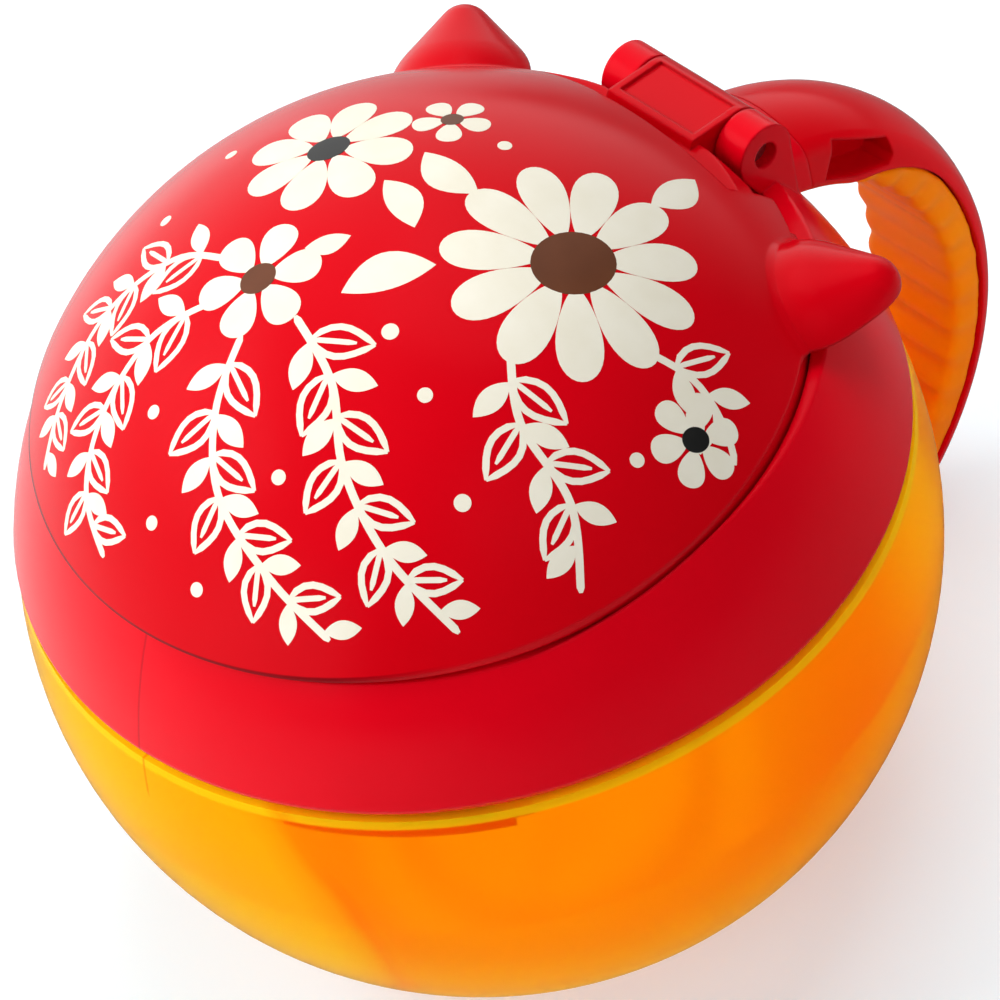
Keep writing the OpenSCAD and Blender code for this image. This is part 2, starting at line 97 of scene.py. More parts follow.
def mottle(tree, fac, low, high, reach=0.2):
    """Colour that goes from low to high over the middle of a noise."""
    n = add(tree, "ShaderNodeValToRGB", -700, 200)
    tree.links.new(fac, n.inputs["Fac"])
    for stop, place, colour in zip(n.color_ramp.elements, (0.5 - reach, 0.5 + reach), (low, high)):
        stop.position = place
        stop.color = (*colour, 1)
    return n.outputs["Color"]


def spread(tree, fac, low, high, from_low=0.0, from_high=1.0, x=-700, y=-200):
    """Maps from_low..from_high to low..high."""
    n = add(tree, "ShaderNodeMapRange", x, y, From_Min=from_low, From_Max=from_high,
            To_Min=low, To_Max=high)
    tree.links.new(fac, n.inputs["Value"])
    return n.outputs["Result"]


def maths(tree, operation, a, b=None, x=-800, y=-600):
    n = add(tree, "ShaderNodeMath", x, y)
    n.operation = operation
    for socket, value in zip(n.inputs, (a, b)):
        if value is None:
            continue
        if isinstance(value, (int, float)):
            socket.default_value = value
        else:
            tree.links.new(value, socket)
    return n.outputs[0]


def length_of(tree, vector, x, y):
    n = add(tree, "ShaderNodeVectorMath", x, y)
    n.operation = "LENGTH"
    tree.links.new(vector, n.inputs[0])
    return n.outputs["Value"]


def along(tree, at, direction, x=-1400, y=-1700):
    """How far a point lies along a direction."""
    n = add(tree, "ShaderNodeVectorMath", x, y)
    n.operation = "DOT_PRODUCT"
    n.inputs[1].default_value = direction
    tree.links.new(at, n.inputs[0])
    return n.outputs["Value"]


def picked(tree, fac, a, b, x=-450):
    """Colour a where fac is 0 and b where it is 1; each is a colour or a socket."""
    n = add(tree, "ShaderNodeMix", x, 250)
    n.data_type = "RGBA"
    tree.links.new(fac, n.inputs[0])
    for socket, value in ((n.inputs[6], a), (n.inputs[7], b)):
        if isinstance(value, tuple):
            socket.default_value = (*value, 1)
        else:
            tree.links.new(value, socket)
    return n.outputs[2]


def roughened(tree, shader, fac, low, high):
    tree.links.new(spread(tree, fac, low, high), shader.inputs["Roughness"])


def surface(tree, shader, height, strength, distance, edge_r=None):
    """Bump from a height, over edges that look rounded by edge_r."""
    n = add(tree, "ShaderNodeBump", -300, -400, Strength=strength, Distance=distance)
    tree.links.new(height, n.inputs["Height"])
    if edge_r:
        soft = add(tree, "ShaderNodeBevel", -550, -550, Radius=edge_r)
        soft.samples = 6
        tree.links.new(soft.outputs["Normal"], n.inputs["Normal"])
    tree.links.new(n.outputs["Normal"], shader.inputs["Normal"])


def srgb(r, g, b):
    """Linear colour from 0..255 display values."""
    def one(c):
        c /= 255
        return c / 12.92 if c <= 0.04045 else ((c + 0.055) / 1.055) ** 2.4
    return one(r), one(g), one(b)


# ---- Materials ----

# Parting line of the collar's mould: its azimuth in degrees, its width, how far out from the
# upright axis it starts, how dark it is, and how deep beside the grain
PARTING_AZIMUTH = -85.3
PARTING_W = 0.2 * MM
PARTING_FROM = 20 * MM
PARTING_SHADE = 0.35
PARTING_DEPTH = 2.0

# Painted shade: the foot of the lid is painted dark beyond this radius, round its front left,
# where the gap under its edge lies in shade
PAINTED_LID_SHADE = 0.85
PAINTED_LID_SHADE_R = 41.4 * MM, 41.48 * MM
PAINTED_LID_SHADE_SIDE = Vector((-0.34, -0.94, 0))
PAINTED_LID_SHADE_FROM = 14 * MM, 25 * MM
# Dark red of the collar's parting line, and of the painted shade at the lid's foot
SEAM_AND_PAINTED_SHADE_RED = srgb(110, 0, 8)

CUP_ORANGE = (1.0, 0.33, 0.0003), (1.0, 0.50, 0.0006)
# Yellow of the painted light, where the cup is painted as lit through its walls
CUP_PAINTED_LIGHT_YELLOW = (1.0, 0.64, 0.004)
# Darker orange of the witness mark, and of the painted shade streak
CUP_MARK_AND_PAINTED_SHADE = (1.0, 0.24, 0.0002)
# How clear the cup is, and its rim
CUP_CLEAR = 0.86
RIM_CLEAR = 0.3
# Where the cup is painted yellow, as painted light through its walls. A pair says where it starts
# and
# where it is full: along the near side, along the far side and up to the rim; over the foot it is
# full and then gone
PAINTED_LIGHT_SIDE = Vector((-0.388, -0.919, -0.131)).normalized()
PAINTED_LIGHT_FROM = 23.5 * MM, 29.5 * MM
PAINTED_LIGHT_SWAY = 6 * MM
FAR_PAINTED_LIGHT_SIDE = Vector((0.66, 0.73, -0.19)).normalized()
FAR_PAINTED_LIGHT_FROM = 32 * MM, 46 * MM
FAR_PAINTED_LIGHT = 0.6
PAINTED_RIM_LIGHT_BAND = CUP_RIM_Z - 1.2 * MM, CUP_RIM_Z - 0.9 * MM
FOOT_TO = 3 * MM, 16 * MM
FOOT_PAINTED_LIGHT = 0.55
# A painted dark streak, standing in for refraction, where the near side's painted light begins,
# and a short witness mark under the rim
PAINTED_STREAK_AT = PAINTED_LIGHT_FROM[0] + 1 * MM
PAINTED_STREAK_W = 1.6 * MM
PAINTED_STREAK_SHADE = 0.5
WITNESS_FROM = CUP_RIM_Z - 5.5 * MM, CUP_RIM_Z - 4.5 * MM
WITNESS_W = 0.22 * MM
WITNESS_SHADE = 0.8


def parting_line(tree, at, width):
    """1 on a thin upright line down the outside, 0 elsewhere."""
    a = math.radians(PARTING_AZIMUTH)
    across = along(tree, at, (-math.sin(a), math.cos(a), 0), y=-700)
    outward = along(tree, at, (math.cos(a), math.sin(a), 0), y=-900)
    off = maths(tree, "ABSOLUTE", across, x=-1200, y=-700)
    near = spread(tree, off, 1, 0, 0.3 * width, width, x=-1000, y=-700)
    side = maths(tree, "GREATER_THAN", outward, PARTING_FROM, x=-1000, y=-900)
    return maths(tree, "MULTIPLY", near, side, x=-800, y=-800)


def painted_lid_foot_shade(tree, at):
    """The strength of the painted shade on the foot of the lid round its front left, 0 elsewhere.
    """
    flat = add(tree, "ShaderNodeMapping", -1400, -1300,
               Location=(0, -LID_AXIS_Y, 0), Scale=(1, 1, 0))
    tree.links.new(at, flat.inputs["Vector"])
    r = length_of(tree, flat.outputs["Vector"], -1200, -1300)
    beyond = spread(tree, r, 0, PAINTED_LID_SHADE, *PAINTED_LID_SHADE_R, x=-1000, y=-1200)
    front = spread(tree, along(tree, at, PAINTED_LID_SHADE_SIDE), 0, 1, *PAINTED_LID_SHADE_FROM,
                   x=-1000, y=-1600)
    return maths(tree, "MULTIPLY", beyond, front, x=-600, y=-1300)


def moulded_red(name, low, high, parted=False):
    """Glossy red polypropylene: faint flow mottle and fine mould grain, with a parting line or
    else painted shade on the foot of the lid."""
    mat, tree, s, at = new_material(name)
    colour = mottle(tree, noise(tree, at, 24, 3, y=200), low, high)
    grain = noise(tree, at, 900, 3, y=-400)
    if parted:
        line = parting_line(tree, at, PARTING_W)
        shade = maths(tree, "MULTIPLY", line, PARTING_SHADE, x=-600, y=400)
        groove = maths(tree, "MULTIPLY", line, -PARTING_DEPTH)
        grain = maths(tree, "ADD", grain, groove, x=-500, y=-500)
    else:
        # Painted shade on the lid's foot, where the gap under its edge lies in shade
        shade = painted_lid_foot_shade(tree, at)
    tree.links.new(picked(tree, shade, colour, SEAM_AND_PAINTED_SHADE_RED), s.inputs["Base Color"])
    roughened(tree, s, noise(tree, at, 140, 4), 0.16, 0.25)
    surface(tree, s, grain, 0.1, 0.04 * MM, edge_r=0.5 * MM)
    set_plain(s, IOR=1.4, Specular_Tint=(1, 0.22, 0.26, 1))
    return mat


def clear_orange():
    """Tinted see-through copolyester of the cup: orange, with yellow painted light on its near and
    far sides, its foot and its rim."""
    mat, tree, s, at = new_material("clear_orange")
    split = add(tree, "ShaderNodeSeparateXYZ", -1400, 400)
    tree.links.new(at, split.inputs[0])
    height = split.outputs["Z"]
    rim = spread(tree, height, 0, 1, *PAINTED_RIM_LIGHT_BAND, x=-1200, y=400)
    foot = spread(tree, height, FOOT_PAINTED_LIGHT, 0, *FOOT_TO, x=-1000, y=500)
    sway = spread(tree, noise(tree, at, 28, 2, x=-1400, y=900), -PAINTED_LIGHT_SWAY, PAINTED_LIGHT_SWAY,
                  x=-1200, y=900)
    toward = maths(tree, "ADD", along(tree, at, PAINTED_LIGHT_SIDE, y=700), sway, x=-1000, y=700)
    painted_near_light = spread(tree, toward, 0, 1, *PAINTED_LIGHT_FROM, x=-850, y=700)
    painted_far_light = spread(tree, along(tree, at, FAR_PAINTED_LIGHT_SIDE, y=1100), 0, FAR_PAINTED_LIGHT, *FAR_PAINTED_LIGHT_FROM,
                      x=-1000, y=1100)
    # Painted light: yellow on the rim, the near and far sides and the foot
    yellow = rim
    for k, mask in enumerate((painted_near_light, painted_far_light, foot)):
        yellow = maths(tree, "MAXIMUM", yellow, mask, x=-800 + 80 * k, y=800)
    # Painted shade: a dark streak where the near side's painted light begins, joined with the
    # witness mark
    off = maths(tree, "ABSOLUTE", maths(tree, "SUBTRACT", toward, PAINTED_STREAK_AT, y=1300),
                x=-650, y=1300)
    painted_streak = spread(tree, off, PAINTED_STREAK_SHADE, 0, 0, PAINTED_STREAK_W, x=-450, y=1300)
    below_rim = spread(tree, height, 0, WITNESS_SHADE, *WITNESS_FROM, x=-650, y=1500)
    mark = maths(tree, "MULTIPLY", parting_line(tree, at, WITNESS_W), below_rim, x=-450, y=1500)
    deep = maths(tree, "MAXIMUM", painted_streak, mark, x=-250, y=1400)
    body = mottle(tree, noise(tree, at, 13, 3, y=200), *CUP_ORANGE, reach=0.25)
    lit = picked(tree, yellow, body, CUP_PAINTED_LIGHT_YELLOW)
    tree.links.new(picked(tree, deep, lit, CUP_MARK_AND_PAINTED_SHADE, x=-200), s.inputs["Base Color"])
    tree.links.new(spread(tree, rim, CUP_CLEAR, RIM_CLEAR, x=-400, y=600),
                   s.inputs["Transmission Weight"])
    roughened(tree, s, noise(tree, at, 70, 3), 0.26, 0.34)
    surface(tree, s, noise(tree, at, 45, 2, y=-400), 0.06, 0.5 * MM)
    set_plain(s, IOR=1.08, Specular_Tint=(1, 0.5, 0.08, 1), Subsurface_Weight=0.15,
              Subsurface_Radius=(12 * MM, 6 * MM, 1 * MM))
    return mat


def soft_orange():
    """Matt thermoplastic rubber of the grip."""
    mat, tree, s, at = new_material("soft_orange")
    colour = mottle(tree, noise(tree, at, 40, 3, y=200), srgb(255, 124, 0), srgb(255, 144, 4))
    tree.links.new(colour, s.inputs["Base Color"])
    roughened(tree, s, noise(tree, at, 300, 4), 0.4, 0.55)
    surface(tree, s, noise(tree, at, 1600, 2, y=-400), 0.12, 0.05 * MM)
    set_plain(s, IOR=1.3, Specular_Tint=(1, 0.5, 0.12, 1), Subsurface_Weight=0.4,
              Subsurface_Radius=(5 * MM, 2 * MM, 0.4 * MM))
    return mat


def flap_silicone():
    """Milky yellow silicone of the flaps and their rim."""
    mat, tree, s, at = new_material("flap_silicone")
    colour = mottle(tree, noise(tree, at, 50, 3, y=200), srgb(250, 176, 24), srgb(253, 190, 44))
    tree.links.new(colour, s.inputs["Base Color"])
    roughened(tree, s, noise(tree, at, 260, 4), 0.34, 0.46)
    surface(tree, s, noise(tree, at, 1500, 2, y=-400), 0.1, 0.1 * MM, edge_r=0.3 * MM)
    set_plain(s, IOR=1.41, Subsurface_Weight=0.35, Subsurface_Radius=(6 * MM, 3 * MM, 1 * MM))
    return mat


def drawn_steel():
    """Drawn stainless wire of the hinge pin, with fine lines along it."""
    mat, tree, s, at = new_material("drawn_steel")
    stretch = add(tree, "ShaderNodeMapping", -1200, 0, Scale=(40, 2600, 2600))
    tree.links.new(at, stretch.inputs["Vector"])
    lines = noise(tree, stretch.outputs["Vector"], 1, 3)
    colour = mottle(tree, lines, (0.42, 0.42, 0.43), (0.6, 0.6, 0.61))
    tree.links.new(colour, s.inputs["Base Color"])
    roughened(tree, s, lines, 0.25, 0.4)
    surface(tree, s, lines, 0.1, 0.1 * MM)
    set_plain(s, Metallic=1)
    return mat


def print_ink(name, low, high):
    """Opaque ink with the fine unevenness of a pad print."""
    mat, tree, s, at = new_material(name)
    colour = mottle(tree, noise(tree, at, 220, 4, y=200), low, high)
    tree.links.new(colour, s.inputs["Base Color"])
    roughened(tree, s, noise(tree, at, 400, 3), 0.26, 0.36)
    surface(tree, s, noise(tree, at, 1200, 2, y=-400), 0.05, 0.03 * MM)
    set_plain(s, IOR=1.45)
    return mat


def dress_nodes():
    lid_red = moulded_red("moulded_red", srgb(206, 0, 14), srgb(218, 0, 20))
    handle_red = moulded_red("handle_red", srgb(214, 0, 14), srgb(226, 0, 20))
    collar_red = moulded_red("collar_red", srgb(224, 0, 22), srgb(236, 1, 28), parted=True)
    silicone = flap_silicone()
    finish = {"cup": clear_orange(), "lid": lid_red, "clamp_ring": lid_red,
              "handle": handle_red, "collar": collar_red,
              "hinge_pin": drawn_steel(), "flap_rim": silicone}
    for i in range(1, FLAPS + 1):
        finish[f"flap_{i}"] = silicone
    for name, mat in finish.items():
        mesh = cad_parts[name].data
        mesh.materials.clear()
        mesh.materials.append(mat)


# ---- Soft grip with its ribs ----

RIB_PITCH = 4.0 * MM
RIB_DEPTH = 0.5 * MM
# The ribs are full up to this far from the grip's inner side, and fade out over the next length
RIB_FULL = 1.0 * MM
RIB_FADE = 3.6 * MM
GRIP_WELD = 0.002 * MM
GRIP_VOXEL = 0.34 * MM
GRIP_SMOOTHINGS = 24


def ribbed_grip(mat):
    """The grip's own shape, remeshed fine, with soft ribs pressed into its finger side and
    flanks."""
    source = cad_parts["grip"]
    mesh = source.data.copy()
    bm = bmesh.new()
    bm.from_mesh(mesh)
    bmesh.ops.remove_doubles(bm, verts=bm.verts, dist=GRIP_WELD)
    bm.to_mesh(mesh)
    bm.free()
    piece = bpy.data.objects.new("ribbed_grip", mesh)
    bpy.context.collection.objects.link(piece)
    piece.matrix_world = source.matrix_world
    remesh = piece.modifiers.new("even_skin", "REMESH")
    remesh.mode = "VOXEL"
    remesh.voxel_size = GRIP_VOXEL
    deps = bpy.context.evaluated_depsgraph_get()
    even = bpy.data.meshes.new_from_object(piece.evaluated_get(deps))
    piece.modifiers.clear()
    piece.data = even
    bpy.data.meshes.remove(mesh)
    bm = bmesh.new()
    bm.from_mesh(even)
    for _ in range(GRIP_SMOOTHINGS):
        bmesh.ops.smooth_vert(bm, verts=bm.verts, factor=0.5,
                              use_axis_x=True, use_axis_y=True, use_axis_z=True)
    bm.normal_update()
    moves = []
    for v in bm.verts:
        out = v.co - HANDLE_MID
        r = math.hypot(out.y, out.z)
        run = math.atan2(out.z, out.y) * GRIP_INSIDE_R
        wave = 0.5 - 0.5 * math.cos(run / RIB_PITCH * FULL_TURN)
        fade = 1 - max(0.0, min(1.0, (r - GRIP_INSIDE_R - RIB_FULL) / RIB_FADE))
        moves.append((v, v.normal * (-RIB_DEPTH * wave * fade)))
    for v, move in moves:
        v.co += move
    bm.to_mesh(even)
    bm.free()
    for polygon in even.polygons:
        polygon.use_smooth = True
    even.materials.clear()
    even.materials.append(mat)
    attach(piece, "collar")
    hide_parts("grip")


# ---- Flowers and vines printed on the lid; drawn flat in millimetres, then laid on ----

# Middle of the print on the dome, and its sideways and upward directions
PRINT_MID = Vector((0.2740, -0.2013, 0.9404)).normalized()
PRINT_SIDE = Vector((0.7065, 0.7056, -0.0548)).normalized()
PRINT_UP = PRINT_MID.cross(PRINT_SIDE).normalized()
PRINT_MARGIN = 1.0 * MM
# Thickness of the ink, how far up the first layer starts and each later one above it, in inks
INK = 0.03 * MM
INK_START = 0.7
INK_STEP = 0.1
INK_WELD = 0.0001 * MM
LINE_W = 0.85
LINE_STEP = 0.9
LINE_END = 0.45
LEAF_LINE_W = 0.85 * LINE_W
MIDRIB_W = 0.7 * LINE_W
PETAL_FOOT = 0.42
DISC_SIDES = 36
DISC_RINGS = 5

# A vine's leaves: where the first pair sits, the pitch of the pairs, a drawn leaf's length and
# width, a solid leaf's share of them, how far both turn from the stem, and the share that each
# pair keeps of the last one's size
VINE_FIRST = 3.0
VINE_PITCH = 4.6
VINE_LEAF = (7.0, 3.3)
VINE_SOLID = 0.75
VINE_TURN = 0.85
VINE_SHRINK = 0.97
SHARP_EDGE = math.radians(35)


def on_dome(x, y, lift=0.0):
    """Place on the dome x and y millimetres from the print's middle, along the curve."""
    r = math.hypot(x, y)
    turn = r * MM / DOME_R
    out = PRINT_MID * math.cos(turn)
    if r > 0:
        out = out + (PRINT_SIDE * x + PRINT_UP * y) * (math.sin(turn) / r)
    return DOME_MID + out * (DOME_R + lift)


def fits(x, y, margin=PRINT_MARGIN):
    """Whether a place keeps that far from the lid's edge."""
    p = on_dome(x, y)
    return math.hypot(p.x, p.y - LID_AXIS_Y) < LID_EDGE_R - margin


def disc(bm):
    """Flat disc of radius 1 in rings, so that it can bend over the dome."""
    verts = bmesh.ops.create_circle(bm, cap_ends=False, radius=1, segments=DISC_SIDES)["verts"]
    made = list(verts)
    edges = list(dict.fromkeys(e for v in verts for e in v.link_edges))
    for k in range(DISC_RINGS, 1, -1):
        inner = bmesh.ops.extrude_edge_only(bm, edges=edges)["geom"]
        verts = [g for g in inner if isinstance(g, bmesh.types.BMVert)]
        edges = [g for g in inner if isinstance(g, bmesh.types.BMEdge)
                 and all(v in verts for v in g.verts)]
        f = (k - 1) / k
        bmesh.ops.scale(bm, vec=(f, f, 1), verts=verts)
        made += verts
    bmesh.ops.edgeloop_fill(bm, edges=edges)
    return made


def turned(x, y, angle, at):
    c, s = math.cos(angle), math.sin(angle)
    return at[0] + x * c - y * s, at[1] + x * s + y * c


def petal(bm, at, angle, start, length, width):
    """Rounded petal that starts that far out from the flower's middle and widens outward."""
    for v in disc(bm):
        s = (v.co.x + 1) / 2
        full = PETAL_FOOT + (1 - PETAL_FOOT) * s ** 0.8
        x, y = start + s * length, v.co.y * width / 2 * full
        v.co.x, v.co.y = turned(x, y, angle, at)


def blot(bm, at, long_r, short_r, angle=0.0):
    """Oval spot."""
    for v in disc(bm):
        v.co.x, v.co.y = turned(v.co.x * long_r, v.co.y * short_r, angle, at)


def full_leaf(bm, at, angle, length, width, bend=0.0):
    """Solid leaf with a point at both ends."""
    for v in disc(bm):
        rho = math.hypot(v.co.x, v.co.y)
        lean = abs(v.co.y) / rho if rho > 0 else 0
        s = (v.co.x + 1) / 2
        x, y = s * length, v.co.y * lean * width / 2 + bend * 4 * s * (1 - s)
        v.co.x, v.co.y = turned(x, y, angle, at)


def through(points):
    """Smooth line through a few points, with a point about every LINE_STEP."""
    line = []
    for i in range(len(points) - 1):
        p0, p1 = Vector((*points[i], 0)), Vector((*points[i + 1], 0))
        before = Vector((*points[max(i - 1, 0)], 0))
        after = Vector((*points[min(i + 2, len(points) - 1)], 0))
        count = max(2, int((p1 - p0).length / LINE_STEP) + 1)
        line += interpolate_bezier(p0, p0 + (p1 - before) / 6, p1 - (after - p0) / 6, p1,
                                   count)[:-1]
    line.append(Vector((*points[-1], 0)))
    return [(p.x, p.y) for p in line]


def stroke(bm, line, width=LINE_W):
    """Ribbon of ink along a line, narrowed at its two ends."""
    edge = None
    last = len(line) - 1
    for i, (x, y) in enumerate(line):
        x0, y0 = line[max(i - 1, 0)]
        x1, y1 = line[min(i + 1, last)]
        long = math.hypot(x1 - x0, y1 - y0)
        w = width / 2 * (LINE_END if i in (0, last) else 1)
        nx, ny = -(y1 - y0) / long * w, (x1 - x0) / long * w
        if edge is None:
            ends = bm.verts.new((x + nx, y + ny, 0)), bm.verts.new((x - nx, y - ny, 0))
            edge = bm.edges.new(ends)
            continue
        a, b = edge.verts
        grown = bmesh.ops.extrude_edge_only(bm, edges=[edge])["geom"]
        edge = next(g for g in grown if isinstance(g, bmesh.types.BMEdge)
                    and all(v not in (a, b) for v in g.verts))
        # The new ends are matched to the old ones by the faces' side edges
        pair = {}
        for v in edge.verts:
            for e in v.link_edges:
                other = e.other_vert(v)
                if other in (a, b):
                    pair[other] = v
        if not on_left(a, line[i - 1], nx, ny):
            a, b = b, a
        pair[a].co = (x + nx, y + ny, 0)
        pair[b].co = (x - nx, y - ny, 0)


def on_left(v, at, nx, ny):
    return (v.co.x - at[0]) * nx + (v.co.y - at[1]) * ny > 0


def line_leaf(bm, at, angle, length, width):
    """Leaf drawn as an outline with its midrib."""
    steps = max(6, int(length / LINE_STEP))
    for side in (-1, 1):
        line = []
        for i in range(steps + 1):
            s = i / steps
            across = side * width / 2 * math.sin(math.pi * s ** 0.85)
            line.append(turned(s * length, across, angle, at))
        stroke(bm, line, LEAF_LINE_W)
    rib = [turned(s * length, 0, angle, at) for s in (0, 0.15, 0.3, 0.45, 0.6, 0.72)]
    stroke(bm, rib, MIDRIB_W)


def vine(bm, points):
    """Stem with pairs of leaves, one drawn and one solid, as far as the lid's edge allows."""
    kept = []
    for p in through(points):
        if not fits(*p):
            break
        kept.append(p)
    stroke(bm, kept)
    run, due, side, size = 0.0, VINE_FIRST, 1, 1.0
    for (x0, y0), (x1, y1) in zip(kept, kept[1:]):
        run += math.hypot(x1 - x0, y1 - y0)
        if run < due:
            continue
        due += VINE_PITCH
        at = (x1, y1)
        length, width = VINE_LEAF[0] * size, VINE_LEAF[1] * size
        for turn in (VINE_TURN, -VINE_TURN):
            heading = math.atan2(y1 - y0, x1 - x0) + turn
            tip = turned(length * 1.05, 0, heading, at)
            if fits(*tip) and fits(*turned(length, VINE_LEAF[1] / 2, heading, at)):
                if side > 0:
                    line_leaf(bm, at, heading, length, width)
                else:
                    full_leaf(bm, turned(0.3, 0, heading, at), heading,
                              length * VINE_SOLID, width * VINE_SOLID)
            side = -side
        size *= VINE_SHRINK
        side = -side


def printed(bm, name, mat, layer):
    """Lays a flat drawing on the dome as a skin of ink that rides on the lid."""
    for v in bm.verts:
        v.co = on_dome(v.co.x, v.co.y, INK * (INK_START + INK_STEP * layer))
    bmesh.ops.recalc_face_normals(bm, faces=bm.faces)
    for f in bm.faces:
        if f.normal.dot(f.calc_center_median() - DOME_MID) < 0:
            f.normal_flip()
    bmesh.ops.solidify(bm, geom=bm.faces[:], thickness=2 * INK)
    bmesh.ops.remove_doubles(bm, verts=bm.verts, dist=INK_WELD)
    bmesh.ops.recalc_face_normals(bm, faces=bm.faces)
    mesh = bpy.data.meshes.new(name)
    bm.to_mesh(mesh)
    bm.free()
    for polygon in mesh.polygons:
        polygon.use_smooth = True
    mesh.set_sharp_from_angle(angle=SHARP_EDGE)
    mesh.materials.append(mat)
    piece = bpy.data.objects.new(name, mesh)
    bpy.context.collection.objects.link(piece)
    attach(piece, "lid")


FLOWERS = [
    # middle, petals, first angle, start, petal length, petal width, centre's radii, centre's ink
    ((17.5, 9.5), 11, 0.2, 3.2, 10.6, 6.3, (4.6, 3.9), "brown"),
    ((-9.5, 27.5), 8, 0.5, 2.0, 8.0, 6.2, (2.5, 2.1), "black"),
    ((-15.5, 9.5), 6, 0.1, 1.5, 5.6, 5.2, (2.1, 1.8), "brown"),
    ((30.5, -9.0), 6, 0.4, 1.1, 4.2, 3.9, (1.6, 1.4), "black"),
    ((4.0, 31.0), 5, 0.9, 0.9, 3.6, 3.6, (1.3, 1.2), "brown"),
]

VINES = [
    [(-17, 3), (-20, -5), (-20, -14), (-15, -23), (-9, -30)],
    [(-21, 8), (-29, 6), (-36, -1), (-39, -9), (-37, -17)],
    [(-11, 4), (-7, -4), (-6, -13), (-2, -22), (5, -30)],
    [(11, -1), (12, -9), (17, -17), (18, -26)],
    [(-20, 13.5), (-27, 16), (-37, 13), (-44, 5), (-48, -3)],
    [(25, 0), (31, -3), (35, -10), (35, -18)],
]

LEAVES = [
    # foot, angle, length, width, bend
    ((7.5, 18.0), 2.3, 9.0, 4.4, 0.8),
    ((3.5, 8.5), 3.4, 10.0, 4.6, -0.9),
    ((-2.5, 20.5), -1.1, 8.0, 3.8, 0.6),
    ((26.0, 19.5), 0.9, 9.0, 4.2, -0.7),
    ((-5.5, 13.0), 3.3, 5.0, 2.6, 0.4),
]

# Sideways, up, radius
DOTS = [(-1, 1, 0.9), (2.5, -6, 0.8), (-13, -13, 0.8), (-28, -3, 0.8), (6, -17, 0.9),
        (24, -12, 0.8), (-29, -15, 0.8), (-24, -23, 0.8), (10, 26, 0.8), (-23, 33, 0.8),
        (-30, 24, 0.8)]


def printed_lid():
    cream = print_ink("printed_cream", srgb(241, 235, 215), srgb(246, 241, 224))
    inks = {"brown": print_ink("printed_brown", srgb(94, 49, 24), srgb(104, 56, 30)),
            "black": print_ink("printed_black", srgb(30, 30, 29), srgb(38, 38, 37))}
    petals = bmesh.new()
    for at, count, first, start, length, width, _, _ in FLOWERS:
        for i in range(count):
            petal(petals, at, first + i * FULL_TURN / count, start, length, width)
    printed(petals, "printed_petals", cream, 2)
    vines = bmesh.new()
    for points in VINES:
        vine(vines, points)
    for leaf in LEAVES:
        full_leaf(vines, *leaf)
    for x, y, r in DOTS:
        if fits(x, y, 2 * PRINT_MARGIN):
            blot(vines, (x, y), r, r)
    printed(vines, "printed_vines", cream, 0)
    for ink, mat in inks.items():
        spots = bmesh.new()
        for at, _, _, _, _, _, radii, kind in FLOWERS:
            if kind == ink:
                blot(spots, at, *radii, angle=0.4)
        printed(spots, f"printed_{ink}_centres", mat, 4)


# ---- Floor, lights and camera ----

CAMERA_PLACE = Vector((0.3564, -0.2090, 0.4784))
CAMERA_BACK = Vector((0.5945, -0.3544, 0.7218)).normalized()
CAMERA_RIGHT = Vector((0.6607, 0.7270, -0.1873)).normalized()
CAMERA_UP = CAMERA_BACK.cross(CAMERA_RIGHT).normalized()
CAMERA_LENS = 199.66
CAMERA_SENSOR = 36

WHITE = (1, 1, 1, 1)
WALLS = (0.97, 0.98, 1, 1)
WALL_LIGHT = 0.31
# The room's pale side, for gloss: left of the camera, high, and behind the object. Then how
# pale gloss sees the room, from its dark side to its pale one, and between which directions
BRIGHT_SIDE = (-0.76 * CAMERA_RIGHT + 0.38 * CAMERA_UP - 0.55 * CAMERA_BACK).normalized()
ROOM_GLOSS = 0.02, 1.0
ROOM_GLOSS_FROM = -0.3, 0.4

# The floor's colour for the light that it throws back, as seen near the object, and in gloss
FLOOR_BOUNCE = (0.82, 0.81, 0.8)
FLOOR_SEEN = (0.58, 0.7, 0.74)
FLOOR_GLOSS = (0.22, 0.22, 0.22)
FLOOR_HALF = 6
# How far from the object's foot near is, and far; the floor's own light for the camera, near
# and far, for glass, and for gloss with the stretch towards the left over which it comes up
NEAR_TO = 0.1, 0.22
FAR_FROM = 0.35, 1.2
FLOOR_LIFT = 0.4, 1.0
GLASS_LIFT = 0.95
GLOSS_LIFT = 0.8
GLOSS_LIFT_FROM = -0.06, 0.16

# Soft lamps, all aimed at the ball's middle: name, place, size, power
SOFTBOXES = [
    ("left_softbox", (-0.55, -0.55, 0.68), (0.7, 0.5), 6.8),
    ("top_softbox", (-0.10, 0.30, 0.95), (0.6, 0.6), 4.2),
    ("front_fill", (0.60, -0.15, 0.75), (0.5, 0.5), 0.5),
    ("low_fill", (0.05, -0.85, 0.35), (0.6, 0.4), 2.2),
]

# Narrow lamp from the right that reaches little but the grip
SPOT_PLACE = (0.55, 0.06, 0.38)
SPOT_AIM = (0, 0.065, 0.030)
SPOT_POWER = 7
SPOT_SPREAD = math.radians(6.5)
SPOT_R = 0.03


def floor_colour(tree, path, away):
    """Darker and cooler for the camera near the object, so that the shadow looks neutral;
    darkest in gloss."""
    close = spread(tree, away, 1, 0, *NEAR_TO, x=-1000, y=600)
    by_camera = maths(tree, "MULTIPLY", path.outputs["Is Camera Ray"], close, x=-800, y=600)
    thrown = picked(tree, by_camera, FLOOR_BOUNCE, FLOOR_SEEN, x=-550)
    return picked(tree, path.outputs["Is Glossy Ray"], thrown, FLOOR_GLOSS, x=-300)


